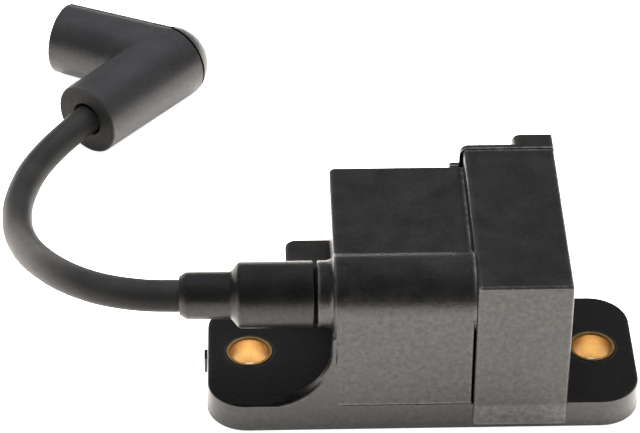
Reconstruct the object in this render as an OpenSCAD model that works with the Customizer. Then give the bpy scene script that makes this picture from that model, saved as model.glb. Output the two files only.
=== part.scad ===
// Ignition coil module with a potted coil case, an electronics housing and a
// captive high tension lead that ends in a right-angle plug boot.
// X runs along the base, Y to the back, Z up. The origin is midway between the
// two mounting holes on the underside of the base.

/* [Base] */
// Distance between the two mounting holes
hole_spacing = 76; // [74:0.5:78]
// Length of the base across both ears
base_length = 95; // [94:0.5:98]
// Thickness of the base
base_thick = 7; // [6.8:0.1:7.4]
// Radius of the ears' corners
ear_corner = 9; // [6:0.5:10]
// Outside diameter of a mounting bushing
bushing_od = 10.1; // [9.8:0.1:10.6]
// Bore of a mounting bushing
bushing_bore = 8.4; // [8.2:0.1:8.6]

/* [Coil case] */
// Height of the coil case above the underside
case_top = 34.8; // [34.6:0.1:35.2]
// Wall thickness of the case and the housing
wall = 1.8; // [1.6:0.1:1.9]
// Radius of the half-round barrel along the front of the case
barrel_r = 8.6; // [8.4:0.1:8.7]

/* [Electronics housing] */
// Height of the electronics housing
cover_top = 39.2; // [38.8:0.1:39.6]
// Depth of the rear cover's connector shroud behind the cover
shroud_depth = 13.6; // [12:0.2:16]

/* [High tension lead] */
// Diameter of the lead
lead_d = 7; // [6.8:0.1:7]
// Large radius of the rubber sleeve
sleeve_r = 7.15; // [7:0.05:7.4]
// Small radius of the rubber sleeve
sleeve_tail_r = 5.1; // [4.8:0.1:5.4]
// Bore of the plug boot, which grips the plug's insulator
plug_bore = 10.4; // [10:0.1:11]

/* [Hidden] */
$fn = 48;
arc_steps = 6;
lead_sides = 12;
eps = 0.02;

// base
base_x = base_length / 2;
base_front = -19;
ear_back = 18;
body_back = 30.6;
gusset_thick = 3.2;
gusset_arc = 14.3;
nub = [1.4, 3.4, 4];

// coil case
case_left = -19.6;
case_right = 10;
case_front = -18.7;
case_y0 = case_front + wall;
case_y1 = body_back - wall;
case_x0 = case_left + wall;
case_x1 = case_right - wall;
tower_y = -10.3;
tower_z = 31;
collar_r = 7.15;
collar_end = -23.1;
spigot_r = 5.3;
spigot_end = -26.9;
tower_bore_r = 3.6;
boss_end = -11;
lug_left = -29.6;
lug_top = 14.7;
window = [[case_x1 - eps, 22, 14], [case_right + 3, 26.4, 26.4]];

// electronics housing
cover_left = 10.4;
cover_right = 30.8;
cover_front = -19.7;
cover_foot = 1.4;
rear_thick = 1.8;
rear_y = body_back + rear_thick;
step_left = 7.4;
step_x = 9.6;
latch_left = 21.6;
latch_y = 36.3;
shroud = [[12.5, 12.5], [29.5, 29]];
shroud_wall = 1.5;
shroud_floor = rear_y + 1;
mouth_y = rear_y + shroud_depth;
pin_x = [17.6, 24.4];
pin_z = [17.6, 23.9];
pin_size = [2.3, 0.8];
pin_y0 = 26;
pin_y1 = 40.4;

// transformer
coil_x = -4.8;
coil_z = 20.2;
core = 7;
core_w = 16;
limb = 3.5;
core_y0 = -12;
core_y1 = 28.3;
yoke_z = 3.7;
leg_y0 = core_y0 + limb;
leg_y1 = core_y1 - limb;
primary_tube = 5.8;
primary_r = 7.6;
primary_flange = 8;
secondary_in = 8.2;
secondary_tube = 9.2;
secondary_r = 11.9;
secondary_flange = 12.4;
secondary_y0 = -4.6;
secondary_y1 = 23.6;
sections = 6;
flange = 0.8;
resin_z0 = 0.8;
link_x = -7.5;
link_z = 28.9;

// circuit board and its parts
board_x = 14;
board_t = 1.6;
face_x = board_x + board_t;
board_y = [-16, 28];
board_top = 36;
wire_z = [16.2, 24.2];
wire_y = 24.25;

// high tension lead, sleeve and boot
lead_r = lead_d / 2;
sleeve_front = -24;
sleeve_shoulder = -39.8;
sleeve_waist = -41.7;
sleeve_tail = -51.4;
sleeve_end = -52.8;
sleeve_fit = 0.4;
knee = [-57, 111, 9.5];
knee_r = 9.5;
arm_turn = 230;
arm_length = 31;
nozzle_turn = 155;
nozzle_length = 30;
lead_stop = 9;
along_arm = [cos(arm_turn), sin(arm_turn), 0];

// centre line of the lead: straight out of the tower, over and down to the
// surface the coil stands on, then along into the boot
route = [
    [-14, -10.3, 31], [-35, -10.3, 31], [-48, -10.3, 31], [-54, -10.3, 31],
    [-60.1, -9.2, 30.4], [-65.2, -7.2, 29.6], [-70.5, -3.7, 28.2],
    [-74.6, 0.3, 26.7], [-78.2, 5.2, 24.7], [-81.1, 10.4, 22.5],
    [-83.6, 15.9, 20.1], [-85.8, 21.7, 17.5], [-87.8, 27.7, 15],
    [-89.5, 33.9, 12.7], [-90.9, 40.1, 10.8], [-91.7, 46.5, 9.5],
    [-91.9, 53.1, 8.7], [-91.1, 59.8, 8.3], [-89, 67.5, 8.4],
    [-85.6, 74.6, 8.7], [-81.5, 81, 9.1],
    knee + along_arm * (arm_length + 0.5),
    knee + along_arm * (arm_length - 8),
    knee + along_arm * lead_stop
];

function unit(v) = v / norm(v);

// Corner points of an arc about [x, y], from angle a to angle b.
function arc(x, y, r, a, b) =
    [for (k = [0 : arc_steps])
        let (t = a + (b - a) * k / arc_steps) [x + r * cos(t), y + r * sin(t)]];

// Outline of a rectangle from p to q with corners of radius r.
function round_rect(p, q, r) = concat(
    arc(q[0] - r, q[1] - r, r, 0, 90), arc(p[0] + r, q[1] - r, r, 90, 180),
    arc(p[0] + r, p[1] + r, r, 180, 270), arc(q[0] - r, p[1] + r, r, 270, 360));

// Direction of the lead at point i of its route.
function heading(i) =
    unit(route[min(i + 1, len(route) - 1)] - route[max(i - 1, 0)]);

// Ring of points round the lead at point i of its route.
function ring(i) =
    let (t = heading(i), side = unit(cross([0, 0, 1], t)), up = cross(t, side))
    [for (k = [0 : lead_sides - 1])
        let (a = 360 * k / lead_sides)
        route[i] + lead_r * (cos(a) * side + sin(a) * up)];

// Box between two corners.
module box(p, q) {
    translate(p) cube(q - p);
}

// Solid with an XZ outline, from y0 to y1.
module slab_y(points, y0, y1) {
    translate([0, y1, 0])
        rotate([90, 0, 0])
            linear_extrude(y1 - y0) polygon(points);
}

// Round bar along X.
module bar_x(x0, x1, y, z, r) {
    translate([x0, y, z]) rotate([0, 90, 0]) cylinder(h = x1 - x0, r = r);
}

// Round bar along Y.
module bar_y(y0, y1, x, z, r) {
    translate([x, y1, z]) rotate([90, 0, 0]) cylinder(h = y1 - y0, r = r);
}

// Places its children at the knee with +Z along an arm turned about Z.
module at_knee(turn) {
    translate(knee) rotate([0, 0, turn]) rotate([0, 90, 0]) children();
}

module base_outline() {
    polygon(round_rect([-base_x, base_front], [base_x, ear_back], ear_corner));
    polygon(round_rect([case_left, -2], [cover_right, body_back], 1));
}

module base_solid() {
    difference() {
        linear_extrude(base_thick) base_outline();
        translate([0, 0, -1])
            linear_extrude(base_thick + 2)
                polygon(round_rect([case_x0, case_y0], [case_x1, case_y1], 2));
    }
}

module gusset() {
    foot = case_left - 0.7 - gusset_arc;
    rise = base_thick + gusset_arc;
    slab_y(concat(arc(foot, rise, gusset_arc, -90, 0),
        [[case_left, rise + 2], [case_left, base_thick - 1],
         [foot, base_thick - 1]]),
        base_front, base_front + gusset_thick);
}

module base_plate() color("#2b2c2e") difference() {
    union() {
        base_solid();
        gusset();
        translate([-base_x - 0.6, nub[0], 0]) cube([1, nub[1], nub[2]]);
    }
    for (side = [-1, 1])
        translate([side * hole_spacing / 2, 0, -1])
            cylinder(h = base_thick + 2, r = bushing_od / 2);
}

module bushing(side) color("#d8a860") translate([side * hole_spacing / 2, 0, 0])
    difference() {
        cylinder(h = base_thick + 0.2, r = bushing_od / 2);
        translate([0, 0, -1])
            cylinder(h = base_thick + 3, r = bushing_bore / 2);
        for (z = [2, 4.2])
            translate([0, 0, z]) difference() {
                cylinder(h = 0.8, r = bushing_od / 2 + 1);
                translate([0, 0, -1])
                    cylinder(h = 3, r = bushing_od / 2 - 0.35);
            }
    }

module bushing_left() bushing(-1);

module bushing_right() bushing(1);

module coil_case() color("#313337") difference() {
    union() {
        translate([0, 0, base_thick])
            linear_extrude(tower_z - base_thick)
                polygon(round_rect([case_left, case_front],
                    [case_right, body_back], 1.2));
        translate([0, 0, base_thick])
            linear_extrude(case_top - base_thick)
                polygon(concat(
                    arc(case_right - 1.2, body_back - 1.2, 1.2, 0, 90),
                    arc(case_left + 1.2, body_back - 1.2, 1.2, 90, 180),
                    [[case_left, tower_y], [case_right, tower_y]]));
        bar_x(case_left, case_right, tower_y, tower_z, barrel_r);
        translate([case_left + eps, tower_y, tower_z])
            rotate([0, -90, 0])
                cylinder(h = 1.2, r1 = barrel_r - 0.1, r2 = collar_r);
        bar_x(collar_end, case_left, tower_y, tower_z, collar_r);
        bar_x(spigot_end, collar_end + 1, tower_y, tower_z, spigot_r);
        linear_extrude(lug_top)
            polygon(round_rect([lug_left, ear_back + 0.4],
                [case_left - 0.2, body_back], 2.5));
        box([case_left - 1, ear_back + 1.4, base_thick + 0.4],
            [case_left + 1, body_back - 1, lug_top - 1]);
    }
    difference() {
        union() {
            box([case_x0, case_y0, base_thick - 1],
                [case_x1, case_y1, tower_z]);
            box([case_x0, tower_y, base_thick - 1],
                [case_x1, case_y1, case_top - wall]);
            bar_x(case_x0, case_x1, tower_y, tower_z, barrel_r - wall);
        }
        bar_x(case_x0 - 1, boss_end, tower_y, tower_z, spigot_r);
    }
    bar_x(spigot_end - 1, boss_end - 2, tower_y, tower_z, tower_bore_r);
    bar_x(boss_end - 4, boss_end + 1, tower_y, tower_z, 1.5);
    box(window[0], window[1]);
}

module potting_resin() color("#1d1c1b") translate([0, 0, resin_z0])
    linear_extrude(yoke_z - resin_z0)
        polygon(round_rect([case_x0, case_y0], [case_x1, case_y1], 2));

module core_leg() color("#7d8084")
    box([coil_x - core / 2, leg_y0, coil_z - core / 2],
        [coil_x + core / 2, leg_y1, coil_z + core / 2]);

module core_yoke() color("#6d7074") {
    lo = coil_x - core_w / 2;
    hi = coil_x + core_w / 2;
    union() {
        box([lo, core_y0, yoke_z], [hi, core_y1, yoke_z + limb]);
        box([lo, core_y0, yoke_z], [hi, leg_y0, coil_z + core / 2]);
        box([lo, leg_y1, yoke_z], [hi, core_y1, coil_z + core / 2]);
    }
}

module primary_bobbin() color("#c9c3ae") difference() {
    union() {
        bar_y(leg_y0, leg_y1, coil_x, coil_z, primary_tube);
        bar_y(leg_y0, leg_y0 + 1, coil_x, coil_z, primary_flange);
        bar_y(leg_y1 - 1, leg_y1, coil_x, coil_z, primary_flange);
    }
    box([coil_x - core / 2, leg_y0 - 1, coil_z - core / 2],
        [coil_x + core / 2, leg_y1 + 1, coil_z + core / 2]);
}

module primary_winding() color("#b06a3a") difference() {
    bar_y(leg_y0 + 1, leg_y1 - 1, coil_x, coil_z, primary_r);
    bar_y(leg_y0, leg_y1, coil_x, coil_z, primary_tube);
}

module secondary_bobbin() color("#d8d2c0") {
    pitch = (secondary_y1 - secondary_y0 - flange) / sections;
    difference() {
        union() {
            bar_y(secondary_y0, secondary_y1, coil_x, coil_z, secondary_tube);
            for (k = [0 : sections])
                let (y = secondary_y0 + k * pitch)
                bar_y(y, y + flange, coil_x, coil_z, secondary_flange);
        }
        bar_y(secondary_y0 - 1, secondary_y1 + 1, coil_x, coil_z, secondary_in);
    }
}

module secondary_winding() color("#a8552c") {
    pitch = (secondary_y1 - secondary_y0 - flange) / sections;
    for (k = [0 : sections - 1])
        let (y = secondary_y0 + k * pitch)
        difference() {
            bar_y(y + flange, y + pitch, coil_x, coil_z, secondary_r);
            bar_y(y, y + pitch + 1, coil_x, coil_z, secondary_tube);
        }
}

module ht_terminal() color("#c8a45c") union() {
    bar_x(boss_end - 3, boss_end - 2, tower_y, tower_z, 3.2);
    bar_x(boss_end - 2.5, -6, tower_y, tower_z, 1.5);
    translate([boss_end, tower_y, tower_z])
        rotate([0, 90, 0]) cylinder(h = 2, r = 2.8, $fn = 6);
}

module ht_link() color("#b06a3a") difference() {
    union() {
        translate([link_x, tower_y, link_z - 0.5])
            cylinder(h = tower_z - link_z, r = 0.45);
        bar_y(tower_y - 0.7, secondary_y0, link_x, link_z, 0.5);
    }
    bar_x(-9, -5, tower_y, tower_z, 1.5);
}

module electronics_housing() color("#2f3134") difference() {
    translate([0, 0, cover_foot])
        linear_extrude(cover_top - cover_foot)
            polygon(concat(
                arc(cover_right - 1, cover_front + 1, 1, 270, 360),
                [[cover_right, body_back], [cover_left, body_back]],
                arc(cover_left + 1, cover_front + 1, 1, 180, 270)));
    box([cover_left + wall, cover_front + wall, base_thick],
        [cover_right - wall, body_back + 1, cover_top - wall]);
    box([-base_x, base_front, -1], [base_x + 1, body_back + 1, base_thick]);
    box(window[0], window[1]);
}

module rear_outline() {
    polygon(concat([[step_left, cover_foot], [cover_right, cover_foot]],
        arc(cover_right - 0.7, cover_top - 0.4, 0.7, 0, 90),
        arc(step_x + 2, cover_top - 1.7, 2, 90, 180),
        [[step_x, case_top], [step_left, case_top]]));
}

module rear_cover() color("#2c2d30") difference() {
    union() {
        translate([0, rear_y, 0])
            rotate([90, 0, 0]) linear_extrude(rear_thick) rear_outline();
        box([cover_left + wall + 0.1, body_back - 2, base_thick],
            [cover_left + wall + 1.1, body_back + 1, cover_top - wall - 0.1]);
        box([cover_right - wall - 1.1, body_back - 2, base_thick],
            [cover_right - wall - 0.1, body_back + 1, cover_top - wall - 0.1]);
        slab_y(round_rect(shroud[0], shroud[1], 2), rear_y - 1, mouth_y);
        slab_y(concat(arc(cover_right - 0.7, cover_top - 0.4, 0.7, 0, 90),
            arc(latch_left + 1.8, cover_top - 1.5, 1.8, 90, 180),
            [[latch_left, shroud[1][1] - 1], [cover_right, shroud[1][1] - 1]]),
            rear_y - 1, latch_y);
        box([18.6, latch_y, shroud[1][1] - 1], [23.4, mouth_y - 1.5, 30.2]);
    }
    slab_y(round_rect(shroud[0] + [shroud_wall, shroud_wall],
        shroud[1] - [shroud_wall, shroud_wall], 1), shroud_floor, mouth_y + 1);
    for (x = pin_x, z = pin_z)
        box([x - pin_size[0] / 2, pin_y0, z - pin_size[1] / 2],
            [x + pin_size[0] / 2, pin_y1, z + pin_size[1] / 2]);
}

module connector_pins() color("#b9b6ae")
    for (x = pin_x, z = pin_z)
        box([x - pin_size[0] / 2, pin_y0, z - pin_size[1] / 2],
            [x + pin_size[0] / 2, pin_y1, z + pin_size[1] / 2]);

module connector_seal() color("#b4552d") {
    lo = shroud[0] + [shroud_wall + 0.1, shroud_wall + 0.1];
    hi = shroud[1] - [shroud_wall + 0.1, shroud_wall + 0.1];
    difference() {
        slab_y(round_rect(lo, hi, 0.9), shroud_floor, shroud_floor + 1.4);
        slab_y(round_rect(lo + [1.6, 1.6], hi - [1.6, 1.6], 0.6),
            shroud_floor - 1, shroud_floor + 3);
    }
}

module pin_header() color("#1f2022") difference() {
    box([face_x, 24.6, 14.5], [27.4, 28.2, 27.4]);
    for (x = pin_x, z = pin_z)
        box([x - pin_size[0] / 2, pin_y0, z - pin_size[1] / 2],
            [x + pin_size[0] / 2, pin_y1, z + pin_size[1] / 2]);
}

module circuit_board() color("#3d6b3f")
    box([board_x, board_y[0], base_thick], [face_x, board_y[1], board_top]);

module storage_capacitor() color("#8c3b2c")
    translate([face_x, 0, 0]) rotate([0, 90, 0]) rotate([0, 0, 90])
        linear_extrude(12) polygon(round_rect([-13, 9], [12.6, 26.6], 1.5));

module thyristor() color("#26272a") union() {
    box([face_x, -3, 28], [face_x + 3.2, 5, 33]);
    box([face_x, -3, 33], [face_x + 1, 5, 36]);
    for (y = [-1.7, 1, 3.7])
        box([face_x, y - 0.4, 27], [face_x + 0.8, y + 0.4, 28.2]);
}

// Round part along Y that stands on the board on two wire legs.
module axial(y, z, r, l) {
    union() {
        bar_y(y - l / 2, y + l / 2, face_x + r, z, r);
        bar_y(y - l / 2 - 1.7, y + l / 2 + 1.7, face_x + r, z, 0.4);
        for (side = [-1, 1])
            bar_x(face_x, face_x + r, y + side * (l / 2 + 1.2), z, 0.3);
    }
}

module diodes() color("#17181a")
    for (y = [-10.5, 12], z = [29.6, 33.6]) axial(y, z, 1.35, 5);

module resistors() color("#c9ad7a")
    for (z = [10, 14, 18.2]) axial(18.6, z, 1.2, 6);

module ceramic_capacitors() color("#c98a3c")
    for (y = [20, 24.4])
        bar_y(y - 1, y + 1, face_x + 3.6, 32, 3.6);

module link_leads() color("#a33a2e")
    for (z = wire_z)
        bar_x(coil_x + sqrt(pow(primary_flange, 2) - pow(z - coil_z, 2)) + 0.5,
            board_x, wire_y, z, 0.5);

module tower_sleeve() color("#1f2021")
    translate([0, tower_y, tower_z]) rotate([0, -90, 0]) rotate_extrude()
        polygon(concat(
            [[spigot_r + 0.08, -sleeve_front]],
            arc(sleeve_r - 0.9, -sleeve_front + 0.9, 0.9, -90, 0),
            arc(sleeve_r - 2, -sleeve_shoulder, 2, 0, 88),
            [[sleeve_tail_r, -sleeve_waist + 0.3], [sleeve_tail_r, -sleeve_tail]],
            arc(sleeve_tail_r - 1.2, -sleeve_end - 1.2, 1.2, 0, 88),
            [[lead_r + sleeve_fit, -sleeve_end],
             [lead_r + sleeve_fit, -spigot_end + 0.6],
             [spigot_r + 0.08, -spigot_end + 0.6]]));

module ht_lead() color("#232425") {
    n = len(route);
    s = lead_sides;
    polyhedron(
        points = [for (i = [0 : n - 1]) each ring(i)],
        faces = concat(
            [[for (k = [0 : s - 1]) k]],
            [[for (k = [s - 1 : -1 : 0]) (n - 1) * s + k]],
            [for (i = [0 : n - 2], k = [0 : s - 1])
                [i * s + k, (i + 1) * s + k, i * s + (k + 1) % s]],
            [for (i = [0 : n - 2], k = [0 : s - 1])
                [i * s + (k + 1) % s, (i + 1) * s + k,
                 (i + 1) * s + (k + 1) % s]]));
}

module plug_boot() color("#27282a") difference() {
    union() {
        translate(knee) sphere(r = knee_r);
        at_knee(arm_turn) rotate_extrude()
            polygon(concat([[0, 0], [knee_r - 0.2, 0]],
                arc(7.8, arm_length - 1.2, 1.2, 0, 90), [[0, arm_length]]));
        at_knee(nozzle_turn) rotate_extrude()
            polygon(concat([[0, 0], [knee_r - 0.2, 0]],
                arc(8.2, nozzle_length - 0.7, 0.7, 0, 90),
                [[0, nozzle_length]]));
    }
    at_knee(arm_turn) translate([0, 0, 2])
        cylinder(h = arm_length, r = lead_r + 0.05);
    translate(knee) sphere(r = 4.1);
    at_knee(nozzle_turn) {
        translate([0, 0, 3]) cylinder(h = 9.5, r = 4.5);
        translate([0, 0, 12]) cylinder(h = nozzle_length, r = plug_bore / 2);
    }
}

module plug_terminal() color("#b9b4a6") at_knee(nozzle_turn) difference() {
    union() {
        translate([0, 0, 4.5]) cylinder(h = 7, r = 4.1);
        translate([0, 0, 11]) cylinder(h = 0.8, r = 4.45);
    }
    translate([0, 0, 5.7]) cylinder(h = 8, r = 3.25);
    translate([0, 0, 7.2]) difference() {
        cylinder(h = 1.6, r = 6);
        cylinder(h = 1.6, r = 3.6);
    }
}

module terminal_spring() color("#8f9296") at_knee(nozzle_turn)
    translate([0, 0, 7.5]) difference() {
        cylinder(h = 1, r = 4.3);
        translate([0, 0, -1]) cylinder(h = 3, r = 3.6);
        translate([0, -1, -1]) cube([6, 2, 3]);
    }

module lead_crimp() color("#b98d4a") union() {
    at_knee(arm_turn) cylinder(h = lead_stop, r = 1.3);
    at_knee(arm_turn) translate([0, 0, lead_stop - 2]) cylinder(h = 2, r = 3.3);
    translate(knee) sphere(r = 1.3);
    at_knee(nozzle_turn) cylinder(h = 4.5, r = 1.3);
}

base_plate();
bushing_left();
bushing_right();
coil_case();
potting_resin();
core_leg();
core_yoke();
primary_bobbin();
primary_winding();
secondary_bobbin();
secondary_winding();
ht_terminal();
ht_link();
electronics_housing();
rear_cover();
connector_pins();
connector_seal();
pin_header();
circuit_board();
storage_capacitor();
thyristor();
diodes();
resistors();
ceramic_capacitors();
link_leads();
tower_sleeve();
ht_lead();
plug_boot();
plug_terminal();
terminal_spring();
lead_crimp();
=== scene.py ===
import bmesh
import bpy
import numpy as np
from mathutils import Matrix, Vector


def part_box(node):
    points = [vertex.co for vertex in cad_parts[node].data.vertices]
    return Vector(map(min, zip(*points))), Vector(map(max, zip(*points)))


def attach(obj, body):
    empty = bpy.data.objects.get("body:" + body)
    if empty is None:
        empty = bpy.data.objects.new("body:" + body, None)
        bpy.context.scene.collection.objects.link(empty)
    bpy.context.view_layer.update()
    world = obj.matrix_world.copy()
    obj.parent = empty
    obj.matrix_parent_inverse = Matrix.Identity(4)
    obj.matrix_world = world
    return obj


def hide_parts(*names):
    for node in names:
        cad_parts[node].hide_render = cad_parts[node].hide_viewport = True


# Shapes are worked out in millimetres, in the frame's own axes, and go into the meshes in metres.
mm = 0.001
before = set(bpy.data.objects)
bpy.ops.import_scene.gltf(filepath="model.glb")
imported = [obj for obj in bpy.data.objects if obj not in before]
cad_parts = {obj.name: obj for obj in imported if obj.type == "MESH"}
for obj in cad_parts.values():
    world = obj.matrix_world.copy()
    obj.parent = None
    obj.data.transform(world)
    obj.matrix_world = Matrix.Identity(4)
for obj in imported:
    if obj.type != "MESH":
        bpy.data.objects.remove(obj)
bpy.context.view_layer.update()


def boxOf(node):  # a node's lowest and highest corner, in millimetres
    lo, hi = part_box(node)
    return np.array(lo) / mm, np.array(hi) / mm


# camera

cameraSettings = {
    "place": (-37.231, -515.067, 427.95),
    "right": (0.999646, -0.026452, 0.002994),
    "up": (0.013406, 0.597375, 0.80185),
    "lens": 168.75,
    "sensor": 36.0,
}


def makeCamera(s):
    data = bpy.data.cameras.new("camera")
    data.lens, data.sensor_width = s["lens"], s["sensor"]
    data.clip_start, data.clip_end = 0.01, 20
    right = Vector(s["right"]).normalized()
    back = right.cross(Vector(s["up"])).normalized()
    turn = Matrix((right, back.cross(right), back)).transposed().to_4x4()
    turn.translation = Vector(s["place"]) * mm
    camera = bpy.data.objects.new("camera", data)
    camera.matrix_world = turn
    bpy.context.scene.collection.objects.link(camera)
    bpy.context.scene.camera = camera


makeCamera(cameraSettings)
print("camera made")


# surfaces


def unit(v):  # each vector over its own length
    return v / np.maximum(np.linalg.norm(v, axis=-1, keepdims=True), 1e-12)


def putMesh(name, points, faces, caps=()):
    mesh = bpy.data.meshes.new(name)
    mesh.from_pydata((np.asarray(points) * mm).tolist(), [], [*np.asarray(faces).tolist(), *caps])
    piece = bpy.data.objects.new(name, mesh)
    bpy.context.scene.collection.objects.link(piece)
    return piece


def gridFaces(rows, cols, joinRows=False, joinCols=True):
    # quads of a rows by cols grid of points; a joined side runs on into the first row or column
    r, c = np.meshgrid(
        np.arange(rows if joinRows else rows - 1), np.arange(cols if joinCols else cols - 1), indexing="ij"
    )
    r1, c1 = (r + 1) % rows, (c + 1) % cols
    return np.stack([r * cols + c, r * cols + c1, r1 * cols + c1, r1 * cols + c], -1).reshape(-1, 4)


def signedArea(p):
    q = np.roll(p, -1, 0)
    return 0.5 * np.sum(p[:, 0] * q[:, 1] - q[:, 0] * p[:, 1])


def roundCorners(corners, radii, steps=7, closed=True):
    # each corner becomes an arc that touches both of its sides: the arc's middle is on the corner's
    # bisector, radius / sin(half the corner's angle) away, and the arc ends radius / tan(half) along them
    p = np.array(corners, float)
    r = np.broadcast_to(np.array(radii, float), len(p)).copy()
    if not closed:
        r[[0, -1]] = 0
    a, b = unit(np.roll(p, 1, 0) - p), unit(np.roll(p, -1, 0) - p)
    half = np.arccos(np.clip(np.sum(a * b, 1), -1, 1)) / 2
    middle = p + unit(a + b) * (r / np.maximum(np.sin(half), 1e-6))[:, None]
    reach = (r / np.maximum(np.tan(half), 1e-6))[:, None]
    s, e = p + a * reach - middle, p + b * reach - middle
    sweep = np.arctan2(s[:, 0] * e[:, 1] - s[:, 1] * e[:, 0], np.sum(s * e, 1))
    turn = np.arctan2(s[:, 1], s[:, 0])[:, None] + sweep[:, None] * np.linspace(0, 1, steps + 1)
    out = (middle[:, None] + r[:, None, None] * np.stack([np.cos(turn), np.sin(turn)], -1)).reshape(-1, 2)
    keep = np.linalg.norm(out - np.roll(out, 1, 0), axis=1) > 1e-5
    return out[keep] if closed else out[keep | (np.arange(len(out)) == 0)]


def roundRect(lo, hi, radius, steps=7):
    return roundCorners([(lo[0], lo[1]), (hi[0], lo[1]), (hi[0], hi[1]), (lo[0], hi[1])], radius, steps)


def prism(name, outline, lo, hi, axis="z", roundLo=0.0, roundHi=0.0, draft=0.0, steps=5):
    # an outline carried along an axis from lo to hi. Close to an end it draws in along a quarter circle,
    # radius * (1 - sin turn) inwards and radius * (1 - cos turn) along; draft narrows it evenly towards hi.
    # A last ring just inside each rounded end keeps the flat beyond it flat
    outline = outline if signedArea(outline) > 0 else outline[::-1]
    turn = np.linspace(0, np.pi / 2, steps + 1)
    level = np.concatenate([lo + roundLo * (1 - np.cos(turn)), hi - roundHi * (1 - np.sin(turn))])
    depth = np.concatenate([roundLo * (1 - np.sin(turn)), roundHi * (1 - np.cos(turn))])
    depth = depth + draft * (level - lo) / (hi - lo)
    if roundLo:
        level, depth = np.r_[lo, level], np.r_[roundLo * 1.4, depth]
    if roundHi:
        level, depth = np.r_[level, hi], np.r_[depth, depth[-1] + roundHi * 0.4]
    keep = np.concatenate([[True], np.hypot(np.diff(level), np.diff(depth)) > 1e-6])
    level, depth = level[keep], depth[keep]
    side = unit(np.roll(outline, -1, 0) - outline)
    out = np.stack([side[:, 1], -side[:, 0]], -1)
    before = np.roll(out, 1, 0)
    mitre = (out + before) / (1 + np.sum(out * before, 1))[:, None]
    flat = outline[None] - depth[:, None, None] * mitre[None]
    high = np.broadcast_to(level[:, None], flat.shape[:2])
    order = {"z": (0, 1, 2), "x": (2, 0, 1), "y": (0, 2, 1)}[axis]
    points = np.concatenate([flat, high[..., None]], -1)[..., order].reshape(-1, 3)
    rows, cols = flat.shape[:2]
    faces = gridFaces(rows, cols)
    caps = [np.arange(cols)[::-1], (rows - 1) * cols + np.arange(cols)]
    if axis == "y":  # x, z and y in that order are left-handed
        faces, caps = faces[:, ::-1], [c[::-1] for c in caps]
    return putMesh(name, points, faces, [c.tolist() for c in caps])


def lathe(name, profile, start, along, sides=128):
    # a profile of (distance along the axis, radius) turned about that axis:
    # start + distance * axis + radius * (cos turn * side + sin turn * up). One that starts and ends on the
    # axis is left open there and its poles are welded; any other profile is a closed ring
    profile = np.asarray(profile, float)
    onAxis = profile[0, 1] < 1e-6 and profile[-1, 1] < 1e-6
    profile = profile if signedArea(profile) < 0 else profile[::-1]
    along = unit(np.array(along, float))
    side = unit(np.cross(along, [0, 0, 1.0] if abs(along[2]) < 0.9 else [0, 1.0, 0]))
    up = np.cross(along, side)
    turn = np.arange(sides) * 2 * np.pi / sides
    ring = np.cos(turn)[:, None] * side + np.sin(turn)[:, None] * up
    points = np.array(start, float) + profile[:, None, :1] * along + profile[:, None, 1:] * ring[None]
    piece = putMesh(name, points.reshape(-1, 3), gridFaces(len(profile), sides, joinRows=not onAxis))
    if onAxis:
        weld(piece)
    return piece


def weld(piece, reach=0.0015):
    shape = bmesh.new()
    shape.from_mesh(piece.data)
    bmesh.ops.remove_doubles(shape, verts=shape.verts, dist=reach * mm)
    bmesh.ops.dissolve_degenerate(shape, dist=reach * mm * 0.5, edges=shape.edges)
    shape.to_mesh(piece.data)
    shape.free()


def join(piece, tool, way="UNION"):
    # a second closed surface is joined to the piece, or cut away from it, and then dropped
    step = piece.modifiers.new("join", "BOOLEAN")
    step.object, step.operation, step.solver = tool, way, "MANIFOLD"
    view = bpy.context.evaluated_depsgraph_get()
    mesh = bpy.data.meshes.new_from_object(piece.evaluated_get(view))
    piece.modifiers.clear()
    piece.data = mesh
    bpy.data.objects.remove(tool)
    return piece


def cut(piece, *tools):
    for tool in tools:
        join(piece, tool, "DIFFERENCE")
    return piece


def add(piece, *tools):
    for tool in tools:
        join(piece, tool)
    return piece


def block(lo, hi):  # a cutting block between two corners
    return prism("block", roundRect(lo[:2], hi[:2], 0), lo[2], hi[2])


def bar(name, ends, up, wide, tall):  # a straight bar whose underside runs between two points
    aside = unit(np.cross(up, ends[1] - ends[0])) * wide / 2
    points = [end + lift + side for end in ends for lift, side in (
        (0, -aside), (0, aside), (up * tall, aside), (up * tall, -aside),
    )]
    return putMesh(name, np.array(points), gridFaces(2, 4), [[3, 2, 1, 0], [4, 5, 6, 7]])


def finishPiece(piece, body, nodes, sharp=34):
    # faces meeting at less than the sharp angle are shaded as one surface, and big flats keep theirs
    weld(piece)
    piece.data.shade_smooth()
    piece.data.set_sharp_from_angle(angle=np.radians(sharp))
    even = piece.modifiers.new("even", "WEIGHTED_NORMAL")
    even.keep_sharp, even.weight = True, 100
    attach(piece, body)
    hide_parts(*nodes)
    print("made", piece.name, len(piece.data.polygons), "faces")
    return piece


# high tension lead

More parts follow.
